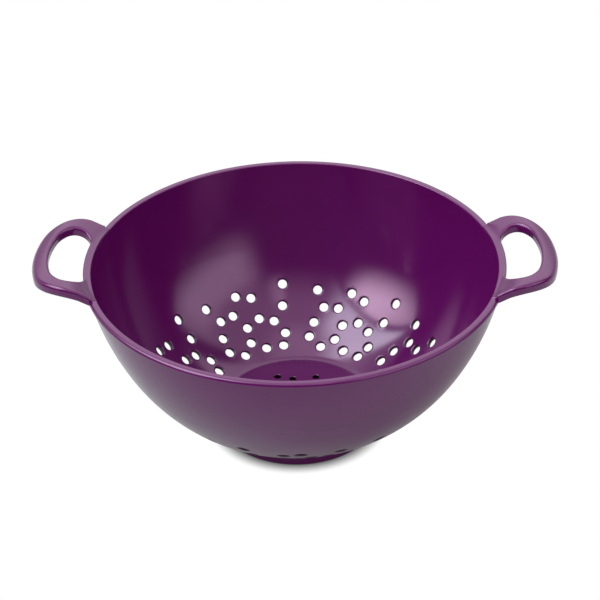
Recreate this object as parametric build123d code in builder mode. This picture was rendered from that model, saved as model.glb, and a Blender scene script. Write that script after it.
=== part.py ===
from build123d import *

import os
from math import acos, asin, cos, degrees, hypot, radians, sin

# A round two-handled colander moulded in one piece, standing on a low foot ring.
# The origin is under the middle of the foot, +Z is up and the handles lie along X.
# All lengths are in millimetres.

# Bowl wall: its outer section runs through heel, belly and joint, then on one tangent arc to the top
wall = 3.0
heel_radius_share = 0.321
heel_height_share = 0.046
belly_radius_share = 0.657
belly_height_share = 0.275
joint_radius_share = 0.85
joint_height_share = 0.55

# Floor and foot ring
floor_height = 10.8
floor_thickness = 3.2
floor_fillet = 14.0
foot_radius = 47.0
foot_width = 4.2
foot_edge = 0.9

# Rim band
rim_radius = 120.0
rim_height = 109.0
lip_width = 4.4
lip_depth = 2.6
lip_overhang = 0.8
lip_outer_edge = 1.9
lip_inner_edge = 0.7
lip_lower_edge = 0.5

# Handles: an arched band bent round a finger opening
handle_projection = 29.2
handle_half_width = 40.0
handle_band = 9.5
handle_thickness = 6.0
handle_corner = 28.0
handle_tip_radius = 71.0
handle_rise = 8.0
handle_crest = 15.5
handle_arch = 26.0
handle_root_step = 1.2
handle_root_blend = 6.0
handle_edge = 1.6
handle_seat_inset = 0.1
opening_corner = 8.0

# Drain holes: one scattered group is repeated round the wall, another scatter pierces the floor
wall_hole_diameter = 5.6
floor_hole_diameter = 4.0
sector_count = 7

# Each wall hole: share of a sector's angle, share of the rim's radius on the inner surface
wall_hole_shares = [
    (0.135, 0.708),
    (0.419, 0.674),
    (0.547, 0.691),
    (0.843, 0.687),
    (0.152, 0.628),
    (0.633, 0.627),
    (0.769, 0.624),
    (0.253, 0.569),
    (0.395, 0.589),
    (0.543, 0.562),
    (0.846, 0.558),
    (0.152, 0.511),
    (0.574, 0.494),
    (0.879, 0.492),
    (0.193, 0.452),
    (0.415, 0.452),
    (0.720, 0.448),
]

# Each floor hole: share of a full turn, share of the foot's radius
floor_hole_shares = [
    (0.321, 0.623),
    (0.272, 0.523),
    (0.188, 0.596),
    (0.055, 0.585),
    (0.133, 0.351),
    (0.958, 0.638),
    (0.917, 0.255),
    (0.847, 0.468),
    (0.778, 0.617),
    (0.728, 0.319),
    (0.675, 0.564),
    (0.597, 0.436),
    (0.556, 0.638),
    (0.444, 0.574),
    (0.389, 0.309),
    (0.208, 0.106),
    (0.569, 0.149),
]

# How far every cutting shape runs past what it cuts
overrun = 2.0

# Two places closer than this are the same place
fine = 0.001

full_turn = 360
quarter_turn = 90
sector_angle = full_turn / sector_count
underside_height = floor_height - floor_thickness
lip_bottom = rim_height - lip_depth
rim_inner_radius = rim_radius - lip_width
heel = (heel_radius_share * rim_radius, heel_height_share * rim_height)
belly = (belly_radius_share * rim_radius, belly_height_share * rim_height)
joint = (joint_radius_share * rim_radius, joint_height_share * rim_height)

os.makedirs("parts", exist_ok=True)

# Outer and inner lines of the wall: each is two tangent arcs, closer together lower down
with BuildLine():
    outer_low = ThreePointArc(heel, belly, joint)
    outer_high = TangentArc(
        outer_low @ 1, (rim_radius - lip_overhang, rim_height), tangent=outer_low % 1
    )
bowl_centre = outer_low.arc_center
inner_scale = (outer_low.radius - wall) / outer_low.radius
inner_points = [
    bowl_centre + (outer_low @ along - bowl_centre) * inner_scale for along in (0, 0.5, 1)
]
with BuildLine():
    inner_low = ThreePointArc(*inner_points)
    inner_high = TangentArc(inner_low @ 1, (rim_inner_radius, rim_height), tangent=inner_low % 1)


def filled_section(low_arc, high_arc):
    """Half of the space inside a line of the wall, from the middle out, down to the ground."""
    low_end = low_arc @ 0
    with BuildSketch() as section:
        with BuildLine():
            add([low_arc, high_arc])
            Polyline(low_end, (low_end.X, 0), (0, 0), (0, rim_height), high_arc @ 1)
        make_face()
    return section.sketch


# The hollow of the bowl ends at the flat floor, in a rounded corner
with BuildSketch() as hollow_section:
    add(filled_section(inner_low, inner_high))
    with Locations((0, floor_height)):
        Rectangle(rim_radius, rim_height, align=Align.MIN, mode=Mode.INTERSECT)
    fillet(hollow_section.vertices().group_by(Axis.Y)[0].sort_by(Axis.X)[-1], radius=floor_fillet)

with BuildSketch() as wall_section:
    add(filled_section(outer_low, outer_high))
    add(hollow_section.sketch, mode=Mode.SUBTRACT)

# Bowl: the wall up to the rim band, closed by the floor, which also covers the foot ring
with BuildPart() as bowl:
    with BuildSketch(Plane.XZ):
        add(wall_section.sketch)
        with Locations((0, underside_height)):
            Rectangle(foot_radius, floor_thickness, align=Align.MIN)
            Rectangle(
                rim_radius + foot_radius,
                lip_bottom - underside_height,
                align=Align.MIN,
                mode=Mode.INTERSECT,
            )
    revolve(axis=Axis.Z)

    # Wall holes are square to the wall, so their axes meet the centre of its lower arc
    mid_wall = outer_low.radius - wall / 2
    hole_places = []
    for sector in range(sector_count):
        for angle_share, radius_share in wall_hole_shares:
            turn = quarter_turn + (sector + angle_share) * sector_angle
            lean = asin((radius_share * rim_radius - bowl_centre.X) / inner_low.radius)
            out = Vector(cos(radians(turn)), sin(radians(turn)), 0)
            axis = out * sin(lean) - Vector(0, 0, 1) * cos(lean)
            middle = out * bowl_centre.X + Vector(0, 0, bowl_centre.Y) + axis * mid_wall
            hole_places.append(Plane(origin=middle, z_dir=axis).location)
    with Locations(*hole_places):
        Cylinder(wall_hole_diameter / 2, wall + 2 * overrun, mode=Mode.SUBTRACT)

    floor_middle = underside_height + floor_thickness / 2
    floor_places = []
    for turn_share, radius_share in floor_hole_shares:
        turn = radians(turn_share * full_turn)
        reach = radius_share * foot_radius
        floor_places.append((reach * cos(turn), reach * sin(turn), floor_middle))
    with Locations(*floor_places):
        Cylinder(floor_hole_diameter / 2, floor_thickness + 2 * overrun, mode=Mode.SUBTRACT)

bowl.part.label = "bowl"
export_step(bowl.part, "parts/bowl.step")

# Rim: the top of the wall with the band that stands proud of it
with BuildPart() as rim:
    with BuildSketch(Plane.XZ) as rim_section:
        add(wall_section.sketch)
        with Locations((rim_radius, lip_bottom)):
            Rectangle(lip_width / 2, lip_depth, align=(Align.MAX, Align.MIN))
            Rectangle(
                2 * lip_width, lip_depth, align=(Align.MAX, Align.MIN), mode=Mode.INTERSECT
            )
        rim_corners = rim_section.vertices().sort_by(Axis.X)
        top_corners = rim_corners.group_by(Axis.Y)[-1].sort_by(Axis.X)
        low_corners = rim_corners.group_by(Axis.Y)[0].sort_by(Axis.X)
        fillet(top_corners[-1], radius=lip_outer_edge)
        fillet(top_corners[0], radius=lip_inner_edge)
        fillet(low_corners[-1], radius=lip_lower_edge)
    revolve(axis=Axis.Z)

rim.part.label = "rim"
export_step(rim.part, "parts/rim.step")

# Foot ring: stands under the edge of the flat floor
with BuildPart() as foot_ring:
    with BuildSketch(Plane.XY):
        Circle(foot_radius)
        Circle(foot_radius - foot_width, mode=Mode.SUBTRACT)
    extrude(amount=underside_height)
    fillet(foot_ring.edges().group_by(Axis.Z)[0], radius=foot_edge)

foot_ring.part.label = "foot_ring"
export_step(foot_ring.part, "parts/foot_ring.step")

# Plan of a handle: a tip arc, two corner arcs and straight sides, all tangent
tip_reach = rim_radius + handle_projection
tip_centre = tip_reach - handle_tip_radius
corner_centre_y = handle_half_width - handle_corner
tip_half_angle = degrees(asin(corner_centre_y / (handle_tip_radius - handle_corner)))
corner_centre_x = tip_centre + (handle_tip_radius - handle_corner) * cos(radians(tip_half_angle))
root_x = rim_inner_radius * cos(asin(handle_half_width / rim_inner_radius)) - handle_band
seat_radius = rim_inner_radius + handle_seat_inset


def band_outline(inset):
    """The handle's outline in plan, drawn in by an inset, with its root end open to the bowl."""
    corner_arc = handle_corner - inset
    side_y = handle_half_width - inset
    CenterArc((tip_centre, 0), handle_tip_radius - inset, -tip_half_angle, 2 * tip_half_angle)
    CenterArc(
        (corner_centre_x, corner_centre_y), corner_arc, tip_half_angle, quarter_turn - tip_half_angle
    )
    CenterArc(
        (corner_centre_x, -corner_centre_y), corner_arc, -quarter_turn, quarter_turn - tip_half_angle
    )
    Line((corner_centre_x, side_y), (root_x, side_y))
    Line((root_x, side_y), (root_x, -side_y))
    Line((root_x, -side_y), (corner_centre_x, -side_y))


# Finger opening: its rim side follows the rim and its root corners are rounded
with BuildSketch() as opening_plan:
    with BuildLine():
        band_outline(handle_band)
    make_face()
    Circle(rim_radius, mode=Mode.SUBTRACT)
    offset(amount=-opening_corner, mode=Mode.REPLACE)
    offset(amount=opening_corner, kind=Kind.ARC, mode=Mode.REPLACE)

with BuildSketch(Plane.XY.offset(lip_bottom - handle_thickness)) as handle_plan:
    with BuildLine():
        band_outline(0)
    make_face()
    add(opening_plan.sketch, mode=Mode.SUBTRACT)
    Circle(seat_radius, mode=Mode.SUBTRACT)

# Section of a handle away from the bowl: it leaves the rim level, climbs to a crest and falls
crest_radius = rim_radius + handle_crest
arch_centre_height = rim_height + handle_rise - handle_arch
climb_swing = degrees(acos(1 - (handle_rise - handle_root_step) / handle_arch))
fall_swing = degrees(asin((handle_projection + overrun - handle_crest) / handle_arch))
with BuildSketch(Plane.XZ) as handle_section:
    with BuildLine():
        arch = CenterArc(
            (crest_radius, arch_centre_height),
            handle_arch,
            quarter_turn - fall_swing,
            fall_swing + climb_swing,
        )
        arch_under = CenterArc(
            (crest_radius, arch_centre_height - handle_thickness),
            handle_arch,
            quarter_turn - fall_swing,
            fall_swing + climb_swing,
        )
        root_end = Line(
            (rim_inner_radius, (arch @ 1).Y), (rim_inner_radius, (arch_under @ 1).Y)
        )
        Line(arch @ 1, root_end @ 0)
        Line(arch_under @ 1, root_end @ 1)
        Line(arch @ 0, arch_under @ 0)
    make_face()
    fillet(handle_section.vertices().group_by(Axis.X)[1], radius=handle_root_blend)


def on_seat(edge):
    """Whether an edge lies on the round end face over the rim's inner edge."""
    places = [edge @ along for along in (0, 0.5, 1)]
    return all(abs(hypot(place.X, place.Y) - seat_radius) < fine for place in places)


def straight_across(edge):
    """Whether an edge is a straight one that runs level along Y or upright."""
    way = edge % 0.5
    return edge.geom_type == GeomType.LINE and abs(way.X) < fine


# Right handle: the plan cut to the arched section, rounded, and fitted round the rim
with BuildPart() as handle_right:
    extrude(handle_plan.sketch, amount=2 * handle_thickness + handle_rise + lip_depth)
    revolve(handle_section.sketch, axis=Axis.Z, mode=Mode.INTERSECT)
    free_edges = [
        edge for edge in handle_right.edges() if not on_seat(edge) and not straight_across(edge)
    ]
    fillet(free_edges, radius=handle_edge)
    add(rim.part, mode=Mode.SUBTRACT)
    with BuildSketch(Plane.XZ):
        add(filled_section(outer_low, outer_high))
        with Locations((0, lip_bottom)):
            Rectangle(rim_radius, rim_height, align=(Align.MIN, Align.MAX), mode=Mode.INTERSECT)
    revolve(axis=Axis.Z, mode=Mode.SUBTRACT)

handle_right.part.label = "handle_right"
export_step(handle_right.part, "parts/handle_right.step")

# Left handle: the mirror image of the right one
with BuildPart() as handle_left:
    mirror(handle_right.part, about=Plane.YZ)

handle_left.part.label = "handle_left"
export_step(handle_left.part, "parts/handle_left.step")
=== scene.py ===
# Two-handled colander, one moulding of dark purple melamine
import math

import bmesh
import bpy
from mathutils import Matrix, Vector
from mathutils.geometry import intersect_sphere_sphere_2d


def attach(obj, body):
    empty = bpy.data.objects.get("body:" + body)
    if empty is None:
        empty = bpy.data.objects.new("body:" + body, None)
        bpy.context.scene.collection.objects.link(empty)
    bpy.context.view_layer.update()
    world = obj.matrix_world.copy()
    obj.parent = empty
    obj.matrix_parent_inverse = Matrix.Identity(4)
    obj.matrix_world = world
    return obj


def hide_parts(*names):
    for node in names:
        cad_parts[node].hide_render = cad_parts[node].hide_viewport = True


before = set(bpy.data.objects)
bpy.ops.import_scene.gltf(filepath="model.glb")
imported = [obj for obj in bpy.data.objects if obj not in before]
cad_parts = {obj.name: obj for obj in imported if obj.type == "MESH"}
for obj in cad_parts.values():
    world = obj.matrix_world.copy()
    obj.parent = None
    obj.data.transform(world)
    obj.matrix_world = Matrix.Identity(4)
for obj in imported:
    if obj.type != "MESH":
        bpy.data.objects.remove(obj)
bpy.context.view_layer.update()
print("frame loaded:", ", ".join(sorted(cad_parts)))

# Shapes are drawn in millimetres and scaled to metres when they become pieces
mm = 0.001
fullTurn = 2 * math.pi
quarterTurn = math.pi / 2
origin = Vector((0, 0, 0))
upright = Vector((0, 0, 1))
profileAxis = Vector((0, -1, 0))  # a turn about it runs from +X to +Z
samePlace = 0.001
bevelProfile = 0.5  # a circular one


# Drawing with vertices: each returns the vertex that the line has reached
def lineTo(bm, start, place, steps=1):
    first = start.co.copy()
    for step in range(1, steps + 1):
        start = bmesh.ops.extrude_vert_indiv(bm, verts=[start])["verts"][0]
        start.co = first.lerp(place, step / steps)
    return start


def arcTo(bm, start, centre, place, axis, steps):
    near = start.co - centre
    far = place - centre
    turn = math.atan2(axis.dot(near.cross(far)), near.dot(far))
    swept = bmesh.ops.spin(bm, geom=[start], cent=centre, axis=axis, angle=turn, steps=steps)
    return [item for item in swept["geom_last"] if isinstance(item, bmesh.types.BMVert)][0]


def spinRound(bm, steps):
    # turns the drawn section into a closed round body
    section = bm.verts[:] + bm.edges[:]
    bmesh.ops.spin(
        bm, geom=section, cent=origin, axis=upright, angle=fullTurn, steps=steps, use_merge=True
    )
    bmesh.ops.remove_doubles(bm, verts=bm.verts[:], dist=samePlace)
    bmesh.ops.recalc_face_normals(bm, faces=bm.faces[:])


def roundEdges(bm, edges, radius, segments):
    bmesh.ops.bevel(
        bm,
        geom=edges,
        offset=radius,
        offset_type="OFFSET",
        segments=segments,
        profile=bevelProfile,
        affect="EDGES",
        material=-1,
        clamp_overlap=False,
    )


# Sections are circles through known places, in the plane of x and z
def flat(x, z):
    return Vector((x, 0, z))


def circleThrough(a, b, c):
    rows = Matrix(((b - a).xz, (c - a).xz))
    sums = Vector((b.length_squared - a.length_squared, c.length_squared - a.length_squared)) / 2
    middle = rows.inverted() @ sums
    centre = flat(middle.x, middle.y)
    return centre, (a - centre).length


def carryOn(place, centre, end):
    # centre and radius of the arc that leaves another arc smoothly and runs to a given end
    normal = (place - centre).normalized()
    reach = end - place
    radius = -reach.length_squared / (2 * reach.dot(normal))
    return place - normal * radius, radius


def outAt(centre, radius, height):
    return flat(centre.x + math.sqrt(radius**2 - (height - centre.z) ** 2), height)


# Bowl: a deep wall on a flat floor
bowl = {
    "rimRadius": 120.0,
    "rimHeight": 109.0,
    "wall": 3.0,
    "heel": (0.321, 0.046),  # shares of the rim's radius and height
    "belly": (0.657, 0.275),
    "joint": (0.85, 0.55),
    "floorHeight": 10.8,
    "floorThickness": 3.2,
    "floorCorner": 14.0,
    "footRadius": 47.0,
    "lipWidth": 4.4,
    "lipDepth": 2.6,
    "lipOverhang": 0.8,
    "roundSteps": 288,
    "lowSteps": 38,
    "highSteps": 12,
    "cornerSteps": 8,
    "floorSteps": 4,
}
rimRadius = bowl["rimRadius"]
rimHeight = bowl["rimHeight"]
lipBottom = rimHeight - bowl["lipDepth"]
underside = bowl["floorHeight"] - bowl["floorThickness"]
heel, belly, joint = [
    flat(radiusShare * rimRadius, heightShare * rimHeight)
    for radiusShare, heightShare in (bowl["heel"], bowl["belly"], bowl["joint"])
]
bowlCentre, outerRadius = circleThrough(heel, belly, joint)
innerRadius = outerRadius - bowl["wall"]
innerJoint = bowlCentre + (joint - bowlCentre) * (innerRadius / outerRadius)
outerHigh, outerHighRadius = carryOn(
    joint, bowlCentre, flat(rimRadius - bowl["lipOverhang"], rimHeight)
)
innerHigh, innerHighRadius = carryOn(
    innerJoint, bowlCentre, flat(rimRadius - bowl["lipWidth"], rimHeight)
)


def drawBowl():
    bm = bmesh.new()
    corner = bowl["floorCorner"]
    cornerHeight = bowl["floorHeight"] + corner
    cornerReach = math.sqrt((innerRadius - corner) ** 2 - (cornerHeight - bowlCentre.z) ** 2)
    cornerCentre = flat(bowlCentre.x + cornerReach, cornerHeight)
    cornerEnd = bowlCentre + (cornerCentre - bowlCentre).normalized() * innerRadius
    footSide = bowl["footRadius"]
    footCrease = bowlCentre.z - math.sqrt(outerRadius**2 - (footSide - bowlCentre.x) ** 2)
    pen = bm.verts.new(flat(0, bowl["floorHeight"]))
    pen = lineTo(bm, pen, flat(cornerCentre.x, bowl["floorHeight"]), bowl["floorSteps"])
    pen = arcTo(bm, pen, cornerCentre, cornerEnd, profileAxis, bowl["cornerSteps"])
    pen = arcTo(bm, pen, bowlCentre, innerJoint, profileAxis, bowl["lowSteps"])
    innerTop = outAt(innerHigh, innerHighRadius, lipBottom)
    pen = arcTo(bm, pen, innerHigh, innerTop, profileAxis, bowl["highSteps"])
    outerTop = outAt(outerHigh, outerHighRadius, lipBottom)
    pen = lineTo(bm, pen, outerTop)
    pen = arcTo(bm, pen, outerHigh, joint, profileAxis, bowl["highSteps"])
    pen = arcTo(bm, pen, bowlCentre, flat(footSide, footCrease), profileAxis, bowl["lowSteps"])
    pen = lineTo(bm, pen, flat(footSide, underside))
    lineTo(bm, pen, flat(0, underside), bowl["floorSteps"])
    spinRound(bm, bowl["roundSteps"])
    return bm


# Drain holes: one scattered group repeats round the wall, another pierces the floor
holes = {
    "wallRadius": 2.8,
    "wallFlare": 0.55,  # the wall's holes widen by this much towards the outside
    "floorRadius": 2.0,
    "floorFlare": 0.0,
    "wallEdge": 0.9,  # rounding of each mouth
    "floorEdge": 0.5,
    "edgeTurn": math.radians(68),
    "edgeSteps": 3,
    "overrun": 0.2,
    "roundSteps": 24,
    "floorZone": 38,  # the floor's holes are nearer to the axis than this
    "wallZone": (50, 95),  # and the wall's are between these
    "facing": (0.6, 0.985),  # how far a face looks along its hole, from its side to its mouth
    "groups": 7,
    # shares of a group's angle and of the rim's radius
    "wallShares": [
        (0.135, 0.708),
        (0.419, 0.674),
        (0.547, 0.691),
        (0.843, 0.687),
        (0.152, 0.628),
        (0.633, 0.627),
        (0.769, 0.624),
        (0.253, 0.569),
        (0.395, 0.589),
        (0.543, 0.562),
        (0.846, 0.558),
        (0.152, 0.511),
        (0.574, 0.494),
        (0.879, 0.492),
        (0.193, 0.452),
        (0.415, 0.452),
        (0.720, 0.448),
    ],
    # shares of a full turn and of the foot's radius
    "floorShares": [
        (0.321, 0.623),
        (0.272, 0.523),
        (0.188, 0.596),
        (0.055, 0.585),
        (0.133, 0.351),
        (0.958, 0.638),
        (0.917, 0.255),
        (0.847, 0.468),
        (0.778, 0.617),
        (0.728, 0.319),
        (0.675, 0.564),
        (0.597, 0.436),
        (0.556, 0.638),
        (0.444, 0.574),
        (0.389, 0.309),
        (0.208, 0.106),
        (0.569, 0.149),
    ],
}


def drawPunch(radius, flare, edge, depth):
    # a punch with flared ends, which leave the mouths of its hole rounded
    bm = bmesh.new()
    turn = holes["edgeTurn"]
    half = depth / 2
    arcMiddle = half - edge
    flareStart = flat(
        radius + edge - edge * math.cos(turn), arcMiddle + edge * math.sin(turn)
    )
    flareRise = half + holes["overrun"] - flareStart.z
    flareEnd = flareStart + flat(flareRise * math.tan(turn), flareRise)
    below = Matrix.Scale(-1, 4, upright)
    lowCentre = flat(radius + edge, -arcMiddle)
    highCentre = flat(radius + edge, arcMiddle)
    wider = flat(flare, 0)
    pen = bm.verts.new(flat(0, -flareEnd.z))
    pen = lineTo(bm, pen, below @ flareEnd)
    pen = lineTo(bm, pen, below @ flareStart)
    pen = arcTo(bm, pen, lowCentre, flat(radius, -arcMiddle), profileAxis, holes["edgeSteps"])
    pen = lineTo(bm, pen, flat(radius, arcMiddle) + wider)
    pen = arcTo(
        bm, pen, highCentre + wider, flareStart + wider, profileAxis, holes["edgeSteps"]
    )
    pen = lineTo(bm, pen, flareEnd + wider)
    lineTo(bm, pen, flat(0, flareEnd.z))
    spinRound(bm, holes["roundSteps"])
    return bm


def wallPlaces():
    groupAngle = fullTurn / holes["groups"]
    for group in range(holes["groups"]):
        for angleShare, radiusShare in holes["wallShares"]:
            turn = quarterTurn + (group + angleShare) * groupAngle
            lean = math.asin((radiusShare * rimRadius - bowlCentre.x) / innerRadius)
            out = Vector((math.cos(turn), math.sin(turn), 0))
            axis = out * math.sin(lean) - upright * math.cos(lean)
            middle = out * bowlCentre.x + upright * bowlCentre.z
            middle = middle + axis * (outerRadius - bowl["wall"] / 2)
            yield Matrix.Translation(middle) @ axis.to_track_quat("Z", "Y").to_matrix().to_4x4()


def floorPlaces():
    for turnShare, radiusShare in holes["floorShares"]:
        turn = turnShare * fullTurn
        reach = radiusShare * bowl["footRadius"]
        height = underside + bowl["floorThickness"] / 2
        yield Matrix.Translation((reach * math.cos(turn), reach * math.sin(turn), height))


def drawPunches():
    bm = bmesh.new()
    wallPunch = drawPunch(
        holes["wallRadius"], holes["wallFlare"], holes["wallEdge"], bowl["wall"]
    )
    floorPunch = drawPunch(
        holes["floorRadius"], holes["floorFlare"], holes["floorEdge"], bowl["floorThickness"]
    )
    sets = ((wallPunch, wallPlaces()), (floorPunch, floorPlaces()))
    for punch, places in sets:
        single = bpy.data.meshes.new("punch")
        punch.to_mesh(single)
        punch.free()
        for place in places:
            earlier = len(bm.verts)
            bm.from_mesh(single)
            bm.verts.ensure_lookup_table()
            bmesh.ops.transform(bm, matrix=place, verts=bm.verts[earlier:])
        bpy.data.meshes.remove(single)
    return bm


def markPaintedBoreShade(mesh):
    # 1 on the sides of the holes and falling to 0 over their rounded mouths: the material paints
    # shade there, near black, and makes them rougher
    mark = mesh.attributes.new("paintedBoreShade", "FLOAT", "FACE")
    for polygon, value in zip(mesh.polygons, mark.data):
        place = polygon.center / mm
        reach = place.xy.length
        if reach < holes["floorZone"]:
            facing = abs(polygon.normal.z)
        elif holes["wallZone"][0] < reach < holes["wallZone"][1]:
            out = place.xy.normalized().to_3d()
            spoke = place - out * bowlCentre.x - upright * bowlCentre.z
            facing = abs(polygon.normal.dot(spoke.normalized()))
        else:
            facing = 1
        low, high = holes["facing"]
        value.value = min(max((high - facing) / (high - low), 0), 1)


# Rim: a rounded band that stands proud of the wall
rim = {
    "outerEdge": 1.9,
    "outerSteps": 6,
    "innerEdge": 0.7,
    "innerSteps": 3,
    "lowerEdge": 0.5,
    "lowerSteps": 2,
    "arcSteps": 2,
    "roundSteps": 288,
}


def ringEdges(bm, radius, height):
    # edges of a round body that lie on one circle of it
    def onCircle(vert):
        return (
            abs(vert.co.xy.length - radius) < samePlace and abs(vert.co.z - height) < samePlace
        )

    return [edge for edge in bm.edges if all(onCircle(vert) for vert in edge.verts)]


def drawRim():
    bm = bmesh.new()
    innerTop = rimRadius - bowl["lipWidth"]
    first = bm.verts.new(outAt(innerHigh, innerHighRadius, lipBottom))
    pen = arcTo(bm, first, innerHigh, flat(innerTop, rimHeight), profileAxis, rim["arcSteps"])
    pen = lineTo(bm, pen, flat(rimRadius, rimHeight))
    pen = lineTo(bm, pen, flat(rimRadius, lipBottom))
    bm.edges.new((pen, first))
    spinRound(bm, rim["roundSteps"])
    roundEdges(bm, ringEdges(bm, rimRadius, rimHeight), rim["outerEdge"], rim["outerSteps"])
    roundEdges(bm, ringEdges(bm, innerTop, rimHeight), rim["innerEdge"], rim["innerSteps"])
    roundEdges(bm, ringEdges(bm, rimRadius, lipBottom), rim["lowerEdge"], rim["lowerSteps"])
    return bm


# Foot ring: what the colander stands on
foot = {
    "width": 4.2,
    "edge": 0.9,
    "edgeSteps": 4,
    "roundSteps": 192,
}


def drawFoot():
    bm = bmesh.new()
    outer = bowl["footRadius"]
    inner = outer - foot["width"]
    first = bm.verts.new(flat(inner, underside))
    pen = lineTo(bm, first, flat(inner, 0))
    pen = lineTo(bm, pen, flat(outer, 0))
    pen = lineTo(bm, pen, flat(outer, underside))
    bm.edges.new((pen, first))
    spinRound(bm, foot["roundSteps"])
    standing = ringEdges(bm, outer, 0) + ringEdges(bm, inner, 0)
    roundEdges(bm, standing, foot["edge"], foot["edgeSteps"])
    return bm


# Handles: an arched band round a finger opening, one piece with the rim
handle = {
    "projection": 29.2,
    "halfWidth": 40.0,
    "band": 9.5,
    "thickness": 6.0,
    "corner": 28.0,
    "tipRadius": 71.0,
    "openingCorner": 8.0,
    "rise": 8.0,
    "crest": 15.5,
    "arch": 26.0,
    "rootStep": 1.2,
    "rootEndStep": 0.12,
    "rootBlend": 6.0,
    "rootFlare": 0.3,
    "topEdge": 2.2,
    "topSteps": 6,
    "lowEdge": 1.4,
    "lowSteps": 4,
    "seatEdge": 0.7,
    "seatSteps": 3,
    "seatInset": 0.02,
    "stripProud": 0.15,  # keeps the strip's outer face clear of the rim's
    "seatShare": 0.56,  # where the strip beside the opening begins, share of the seat's angle
    "acrossCuts": 5,
    "fadeStart": math.radians(11),  # the root sinks into the rim from here to its ends
    "fadeEnd": math.radians(19.5),
    "sharpTurn": math.radians(60),  # edges that turn more than this are rounded
    "levelNormal": 0.9999,
    # steps along the plan; both of its lines have as many in all
    "tipSteps": 10,
    "outerCornerSteps": 14,
    "flareSteps": 3,
    "rootCuts": 2,
    "rootSteps": 5,
    "stripSteps": 12,
    "innerCornerSteps": 6,
    "turnSteps": 12,
    "turnEndSteps": 7,
}


def polar(radius, turn):
    return Vector((radius * math.cos(turn), radius * math.sin(turn), 0))


def drawHandlePlan(bm):
    # half of the plan: two lines with as many steps each, joined across, then mirrored
    tipCentre = Vector((rimRadius + handle["projection"] - handle["tipRadius"], 0, 0))
    cornerReach = handle["tipRadius"] - handle["corner"]
    cornerSide = handle["halfWidth"] - handle["corner"]
    tipTurn = math.asin(cornerSide / cornerReach)
    cornerCentre = tipCentre + polar(cornerReach, tipTurn)
    flareReach = rimRadius + handle["rootFlare"]
    flareSide = handle["halfWidth"] + handle["rootFlare"]
    flareCentre = polar(flareReach, math.asin(flareSide / flareReach))
    seatTurn = math.atan2(flareCentre.y, flareCentre.x)
    seatRadius = rimRadius - bowl["lipWidth"] + handle["seatInset"]
    stripTurn = seatTurn * handle["seatShare"]
    pen = bm.verts.new(tipCentre + polar(handle["tipRadius"], 0))
    tipEnd = tipCentre + polar(handle["tipRadius"], tipTurn)
    pen = arcTo(bm, pen, tipCentre, tipEnd, upright, handle["tipSteps"])
    cornerEnd = cornerCentre + polar(handle["corner"], quarterTurn)
    pen = arcTo(bm, pen, cornerCentre, cornerEnd, upright, handle["outerCornerSteps"])
    pen = lineTo(bm, pen, Vector((flareCentre.x, handle["halfWidth"], 0)))
    pen = arcTo(bm, pen, flareCentre, polar(rimRadius, seatTurn), upright, handle["flareSteps"])
    pen = lineTo(bm, pen, polar(seatRadius, seatTurn), handle["rootCuts"])
    pen = arcTo(bm, pen, origin, polar(seatRadius, stripTurn), upright, handle["rootSteps"])
    arcTo(bm, pen, origin, polar(seatRadius, 0), upright, handle["stripSteps"])

    openingRadius = rimRadius + handle["stripProud"]
    innerTip = handle["tipRadius"] - handle["band"]
    innerCorner = handle["corner"] - handle["band"]
    turnRadius = handle["openingCorner"]
    crossings = intersect_sphere_sphere_2d(
        origin.xy, openingRadius + turnRadius, cornerCentre.xy, innerCorner - turnRadius
    )
    turnCentre = max(crossings, key=lambda place: place.y).to_3d()
    turnStart = turnCentre + (turnCentre - cornerCentre).normalized() * turnRadius
    turnEnd = turnCentre.normalized() * openingRadius
    turnMiddle = turnCentre + Vector((-1, 1, 0)).normalized() * turnRadius
    pen = bm.verts.new(tipCentre + polar(innerTip, 0))
    innerTipEnd = tipCentre + polar(innerTip, tipTurn)
    pen = arcTo(bm, pen, tipCentre, innerTipEnd, upright, handle["tipSteps"])
    pen = arcTo(bm, pen, cornerCentre, turnStart, upright, handle["innerCornerSteps"])
    pen = arcTo(bm, pen, turnCentre, turnMiddle, upright, handle["turnSteps"])
    pen = arcTo(bm, pen, turnCentre, turnEnd, upright, handle["turnEndSteps"])
    arcTo(bm, pen, origin, polar(openingRadius, 0), upright, handle["stripSteps"])
    bmesh.ops.bridge_loops(bm, edges=bm.edges[:])
    bmesh.ops.mirror(
        bm,
        geom=bm.verts[:] + bm.edges[:] + bm.faces[:],
        matrix=Matrix.Identity(4),
        merge_dist=samePlace,
        axis="Y",
    )
    bmesh.ops.remove_doubles(bm, verts=bm.verts[:], dist=samePlace)


def archHeight(place):
    # height of the handle's top over a place
    reach = place.xy.length
    turn = abs(math.atan2(place.y, place.x))
    fade = (turn - handle["fadeStart"]) / (handle["fadeEnd"] - handle["fadeStart"])
    fade = min(max(fade, 0), 1)
    fade = fade * fade * (3 - 2 * fade)
    step = handle["rootStep"] + (handle["rootEndStep"] - handle["rootStep"]) * fade
    crestReach = rimRadius + handle["crest"]
    archMiddle = rimHeight + handle["rise"] - handle["arch"]
    level = rimHeight + step
    blend = handle["rootBlend"]
    apart = handle["arch"] + blend
    blendReach = crestReach - math.sqrt(apart**2 - (level + blend - archMiddle) ** 2)
    blendEnd = crestReach - (crestReach - blendReach) * handle["arch"] / apart
    if reach < blendReach:
        return level
    if reach < blendEnd:
        return level + blend - math.sqrt(blend**2 - (reach - blendReach) ** 2)
    return archMiddle + math.sqrt(handle["arch"] ** 2 - (reach - crestReach) ** 2)


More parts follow.
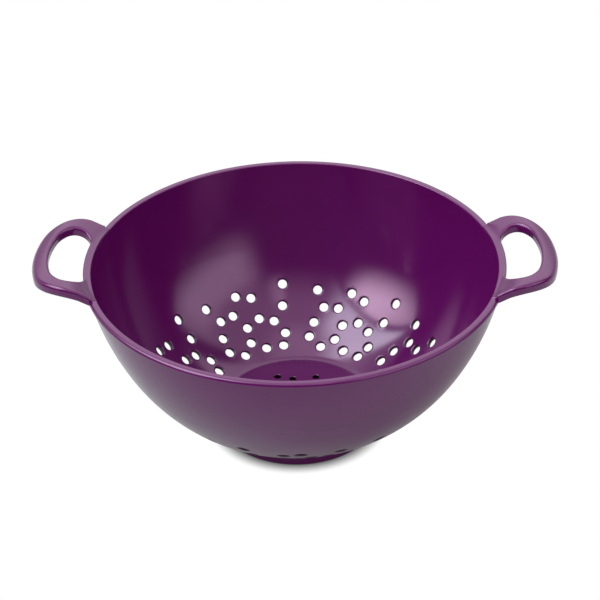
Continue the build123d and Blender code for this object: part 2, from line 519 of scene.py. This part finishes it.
def drawHandle():
    bm = bmesh.new()
    drawHandlePlan(bm)
    lower = bmesh.ops.extrude_face_region(bm, geom=bm.faces[:])["geom"]
    lowerVerts = [item for item in lower if isinstance(item, bmesh.types.BMVert)]
    bmesh.ops.translate(bm, vec=-upright * handle["thickness"], verts=lowerVerts)
    bmesh.ops.recalc_face_normals(bm, faces=bm.faces[:])

    def sharpRing(height, onSeat):
        ring = [
            edge
            for edge in bm.edges
            if all(abs(vert.co.z - height) < samePlace for vert in edge.verts)
            and edge.calc_face_angle() > handle["sharpTurn"]
        ]
        seat = rimRadius - bowl["lipWidth"] + handle["seatInset"] + samePlace
        return [
            edge for edge in ring if onSeat == all(vert.co.xy.length < seat for vert in edge.verts)
        ]

    roundEdges(bm, sharpRing(0, True), handle["seatEdge"], handle["seatSteps"])
    roundEdges(bm, sharpRing(0, False), handle["topEdge"], handle["topSteps"])
    roundEdges(bm, sharpRing(-handle["thickness"], False), handle["lowEdge"], handle["lowSteps"])
    across = [
        edge
        for edge in bm.edges
        if all(abs(face.normal.z) > handle["levelNormal"] for face in edge.link_faces)
    ]
    bmesh.ops.subdivide_edges(bm, edges=across, cuts=handle["acrossCuts"], use_grid_fill=True)
    for vert in bm.verts:
        vert.co.z += archHeight(vert.co)
    return bm


# Melamine: a glossy moulded skin that is never quite even
class Wire:
    def __init__(self, graph, socket):
        self.graph = graph
        self.socket = socket

    def other(self, name):
        return Wire(self.graph, self.socket.node.outputs[name])

    def maths(self, operation, first, second=0.0):
        return self.graph.node("Math", {"operation": operation}, {0: first, 1: second})

    def __add__(self, value):
        return self.maths("ADD", self, value)

    def __radd__(self, value):
        return self.maths("ADD", value, self)

    def __sub__(self, value):
        return self.maths("SUBTRACT", self, value)

    def __rsub__(self, value):
        return self.maths("SUBTRACT", value, self)

    def __mul__(self, value):
        return self.maths("MULTIPLY", self, value)

    def __rmul__(self, value):
        return self.maths("MULTIPLY", value, self)

    def __truediv__(self, value):
        return self.maths("DIVIDE", self, value)

    def __pow__(self, value):
        return self.maths("POWER", self, value)


class Graph:
    def __init__(self, owner):
        owner.use_nodes = True
        self.tree = owner.node_tree
        self.tree.nodes.clear()

    def node(self, kind, settings=None, inputs=None, out=0):
        made = self.tree.nodes.new("ShaderNode" + kind)
        for name, value in (settings or {}).items():
            setattr(made, name, value)
        for name, value in (inputs or {}).items():
            if isinstance(value, Wire):
                self.tree.links.new(value.socket, made.inputs[name])
            else:
                made.inputs[name].default_value = value
        return Wire(self, made.outputs[out]) if made.outputs else None

    def rising(self, value, low, high):
        # 0 below low, 1 above high, smooth between
        return self.node(
            "MapRange",
            {"interpolation_type": "SMOOTHSTEP"},
            {"Value": value, "From Min": low, "From Max": high, "To Min": 0.0, "To Max": 1.0},
        )

    def mixColour(self, factor, first, second):
        settings = {"data_type": "RGBA"}
        return self.node("Mix", settings, {0: factor, 6: first, 7: second}, out=2)


melamine = {
    "deep": (0.066, 0.0018, 0.059, 1.0),
    "light": (0.078, 0.0026, 0.07, 1.0),
    "ior": 1.62,
    "glossTint": (1.0, 0.68, 0.95, 1.0),
    "mottleScale": 60.0,
    "mottleDetail": 4.0,
    # painted shade: the near-black colour put on the sides of the holes, where they fall into shade
    "paintedBoreShade": (0.008, 0.0004, 0.007, 1.0),
    "boreRoughness": 0.3,
    "roughness": 0.13,
    "roughnessSpread": 0.07,
    "hazeScale": 26.0,
    "hazeDetail": 3.0,
    "waveScale": 42.0,
    "waveDetail": 0.5,
    "waveDepth": 0.00012,
    "grainScale": 900.0,
    "grainDetail": 1.0,
    "grainDepth": 0.0000012,
}


def makeMelamine():
    material = bpy.data.materials.new("purpleMelamine")
    graph = Graph(material)
    place = graph.node("TexCoord", out="Object")

    def noise(name):
        values = {
            "Vector": place,
            "Scale": melamine[name + "Scale"],
            "Detail": melamine[name + "Detail"],
        }
        return graph.node("TexNoise", None, values)

    mottle = noise("mottle")
    haze = noise("haze")
    wave = noise("wave")
    grain = noise("grain")
    colour = graph.mixColour(mottle, melamine["deep"], melamine["light"])
    # painted shade: the sides of the holes are darkened to near black, and also made rougher
    paintedBoreShade = graph.node("Attribute", {"attribute_name": "paintedBoreShade"}, out="Fac")
    colour = graph.mixColour(paintedBoreShade, colour, melamine["paintedBoreShade"])
    roughness = haze * melamine["roughnessSpread"] + (
        melamine["roughness"] - melamine["roughnessSpread"] / 2
    )
    roughness = roughness + paintedBoreShade * melamine["boreRoughness"]
    waved = graph.node("Bump", None, {"Height": wave, "Distance": melamine["waveDepth"]})
    grained = graph.node(
        "Bump", None, {"Height": grain, "Distance": melamine["grainDepth"], "Normal": waved}
    )
    shader = graph.node(
        "BsdfPrincipled",
        None,
        {
            "Base Color": colour,
            "Roughness": roughness,
            "Normal": grained,
            "IOR": melamine["ior"],
            "Specular Tint": melamine["glossTint"],
        },
    )
    graph.node("OutputMaterial", None, {"Surface": shader})
    return material


purpleMelamine = makeMelamine()


# Turning drawings into pieces
shading = {
    "sharpAngle": math.radians(38),
    "areaWeight": 60,
}


def toMesh(bm, name):
    bmesh.ops.scale(bm, vec=Vector((mm, mm, mm)), verts=bm.verts[:])
    mesh = bpy.data.meshes.new(name)
    bm.to_mesh(mesh)
    bm.free()
    return mesh


def toObject(mesh, name):
    piece = bpy.data.objects.new(name, mesh)
    bpy.context.scene.collection.objects.link(piece)
    return piece


def finishPiece(mesh, name, node):
    mesh.shade_smooth()
    mesh.set_sharp_from_angle(angle=shading["sharpAngle"])
    mesh.materials.clear()
    mesh.materials.append(purpleMelamine)
    piece = toObject(mesh, name)
    even = piece.modifiers.new("evenShading", "WEIGHTED_NORMAL")
    even.keep_sharp = True
    even.weight = shading["areaWeight"]
    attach(piece, "root")
    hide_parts(node)
    print(name, "made,", len(mesh.polygons), "faces")
    return piece


def cutHoles(plainMesh, punchMesh):
    plain = toObject(plainMesh, "plainBowl")
    punches = toObject(punchMesh, "punches")
    cut = plain.modifiers.new("drainHoles", "BOOLEAN")
    cut.operation = "DIFFERENCE"
    cut.object = punches
    cut.solver = "MANIFOLD"
    ready = plain.evaluated_get(bpy.context.evaluated_depsgraph_get())
    cutMesh = bpy.data.meshes.new_from_object(ready)
    bpy.data.objects.remove(plain)
    bpy.data.objects.remove(punches)
    cutMesh.name = "bowl"
    markPaintedBoreShade(cutMesh)
    return cutMesh


bowlMesh = cutHoles(toMesh(drawBowl(), "plainBowl"), toMesh(drawPunches(), "punches"))
finishPiece(bowlMesh, "drainingBowl", "bowl")
finishPiece(toMesh(drawRim(), "rim"), "rimBand", "rim")
finishPiece(toMesh(drawFoot(), "foot"), "footRing", "foot_ring")
rightDrawing = drawHandle()
leftDrawing = rightDrawing.copy()
bmesh.ops.scale(leftDrawing, vec=Vector((-1, 1, 1)), verts=leftDrawing.verts[:])
bmesh.ops.reverse_faces(leftDrawing, faces=leftDrawing.faces[:])
finishPiece(toMesh(rightDrawing, "rightHandle"), "rightHandle", "handle_right")
finishPiece(toMesh(leftDrawing, "leftHandle"), "leftHandle", "handle_left")

# Studio: soft boxes, a bright ceiling and a pale backdrop behind. Each has the two sides it runs
# between, counted round the axis, and how soft they are, then its lowest and highest edge and how
# soft they are, all in degrees, and its level.
viewTurn = math.radians(1.67)  # the photographer stood this far off the colander's own front
studio = {
    "warmBox": (166, 219, 30, 12, 29.5, 90, 10, 9, 7.8),
    "warmSlope": 0.3,  # its lower edge climbs towards its far side
    "coolBox": (130, 222, 4, 20, 20, 72, 10, 9, 6.4),
    "fill": (-58, 8, 14, 12, 20, 43, 8, 5, 1.15),
    "ceiling": (-58, 130, 10, 10, 22, 100, 8, 5, 1.1),
    "leftCeiling": (130, 302, 10, 10, 50, 100, 14, 5, 1.2),
    "strip": (281, 293, 3, 8, 46, 62, 4, 6, 1.7),
    "zenith": (-200, 200, 5, 5, 76, 100, 7, 5, 0.9),
    "rightGap": (16, 31, 5, 4, 5, 60, 5, 9, 0.95),
    "back": (14, 166, 6, 6, -100, 66, 5, 5, 0.6),
    "frontGlow": (-175, -5, 20, 20, 0, 45, 10, 10, 1.0),
    "darkLevel": 0.05,
    "softShare": 0.68,  # how much of all this the matt skin under the gloss gets
    # two edges of the cool box: which way each faces and how steeply, both in degrees, and how far
    # off the middle it is; the two boxes on the left meet along the first
    "seam": (23.4, -1.8, -0.661),
    "coolSide": (251.8, 6.2, 0.0),
    "seamGap": 0.012,
    "seamSoft": 0.02,
    "coolSideSoft": 0.05,
    "coolLight": (0.84, 1.1, 1.02, 1.0),
    "plainLight": (1.0, 1.0, 1.0, 1.0),
}


def makeWorld():
    world = bpy.data.worlds.new("studio")
    graph = Graph(world)
    ray = graph.node("TexCoord", out="Generated")
    x = graph.node("SeparateXYZ", None, {0: ray}, out="X")
    y = x.other("Y")
    z = x.other("Z")
    height = x.maths("ARCSINE", z)

    def panel(name, slope=0):
        *angles, level = studio[name]
        angles = [math.radians(angle) for angle in angles]
        near, far, nearSoft, farSoft, low, high, lowSoft, highSoft = angles
        turn = (near + far) / 2 + viewTurn
        half = (far - near) / 2
        along = x * math.cos(turn) + y * math.sin(turn)
        apart = x.maths("ARCTAN2", y * math.cos(turn) - x * math.sin(turn), along)
        sides = graph.rising(apart, -half - nearSoft, nearSoft - half)
        sides = sides * (1 - graph.rising(apart, half - farSoft, half + farSoft))
        tall = height - apart * slope
        bottom = graph.rising(tall, low - lowSoft, low + lowSoft)
        top = 1 - graph.rising(height, high - highSoft, high + highSoft)
        return sides * bottom * top * level

    def beyond(name):
        # how far a direction lies past a slanting edge
        turn, tilt, shift = studio[name]
        turn = math.radians(turn) + viewTurn
        tilt = math.radians(tilt)
        return (
            x * (math.cos(tilt) * math.cos(turn))
            + y * (math.cos(tilt) * math.sin(turn))
            + z * math.sin(tilt)
            - shift
        )

    above = beyond("seam")
    gap = studio["seamGap"]
    seamEnd = gap + studio["seamSoft"]
    cool = panel("coolBox") * graph.rising(above, gap, seamEnd)
    cool = cool * graph.rising(beyond("coolSide"), 0, studio["coolSideSoft"])
    warm = panel("warmBox", studio["warmSlope"]) * graph.rising(0 - above, gap, seamEnd)
    light = panel("ceiling")
    for name in ("fill", "leftCeiling", "strip", "zenith", "back"):
        light = light + panel(name)
    light = light * (1 - panel("rightGap")) + cool + warm + studio["darkLevel"]
    matt = graph.node("LightPath", out="Is Diffuse Ray")
    light = light * (1 - matt * (1 - studio["softShare"])) + matt * panel("frontGlow")
    seen = graph.node("LightPath", out="Is Camera Ray")
    coolShare = cool / light * (1 - seen)
    colour = graph.mixColour(coolShare, studio["plainLight"], studio["coolLight"])
    strength = light * (1 - seen) + seen
    glow = graph.node("Background", None, {"Color": colour, "Strength": strength})
    graph.node("OutputWorld", None, {"Surface": glow})
    bpy.context.scene.world = world


makeWorld()
print("studio light made")

# Floor: white, with the close shadow of whatever touches it
floor = {
    "half": 1.3,
    "cuts": 2,
    "shadeReach": 0.009,
    "shadeSamples": 12,
    "shadePower": 2.6,
    "level": 1.0,
    "paint": (0.52, 0.52, 0.52, 1.0),
}


def makeFloor():
    bm = bmesh.new()
    bmesh.ops.create_grid(bm, x_segments=floor["cuts"], y_segments=floor["cuts"], size=floor["half"])
    mesh = bpy.data.meshes.new("floor")
    bm.to_mesh(mesh)
    bm.free()
    material = bpy.data.materials.new("whiteFloor")
    graph = Graph(material)
    samples = {"samples": floor["shadeSamples"]}
    reach = {"Distance": floor["shadeReach"]}
    openness = graph.node("AmbientOcclusion", samples, reach, out="AO")
    shade = openness ** floor["shadePower"]
    glow = graph.node(
        "Emission", None, {"Color": studio["plainLight"], "Strength": shade * floor["level"]}
    )
    paint = graph.node("BsdfDiffuse", None, {"Color": floor["paint"]})
    seen = graph.node("LightPath", out="Is Camera Ray")
    surface = graph.node("MixShader", None, {0: seen, 1: paint, 2: glow})
    graph.node("OutputMaterial", None, {"Surface": surface})
    mesh.materials.append(material)
    toObject(mesh, "floor")


makeFloor()
print("floor made")

# Camera: a long lens from above the front, fitted to the photograph's view
view = {
    "lens": 116.92,
    "sensor": 36.0,
    "shiftX": 0.00769,
    "shiftY": 0.00083,
    "distance": 1.12338,
    "aimHeight": 0.08312,
    "tilt": 0.57716,
    "roll": -0.02254,
}


def makeCamera():
    data = bpy.data.cameras.new("photoView")
    data.sensor_width = view["sensor"]
    data.lens = view["lens"]
    data.shift_x = view["shiftX"]
    data.shift_y = view["shiftY"]
    tilt = view["tilt"]
    roll = view["roll"]
    right = Vector((math.cos(viewTurn), math.sin(viewTurn), 0))
    back = Vector(
        (
            math.cos(tilt) * math.sin(viewTurn),
            -math.cos(tilt) * math.cos(viewTurn),
            math.sin(tilt),
        )
    )
    up = back.cross(right)
    rolledRight = right * math.cos(roll) + up * math.sin(roll)
    rolledUp = up * math.cos(roll) - right * math.sin(roll)
    facing = Matrix((rolledRight, rolledUp, back)).transposed().to_4x4()
    spot = Vector((0, 0, view["aimHeight"])) + back * view["distance"]
    camera = toObject(data, "photoView")
    camera.matrix_world = Matrix.Translation(spot) @ facing
    bpy.context.scene.camera = camera


makeCamera()
bpy.context.scene.view_settings.view_transform = "Standard"
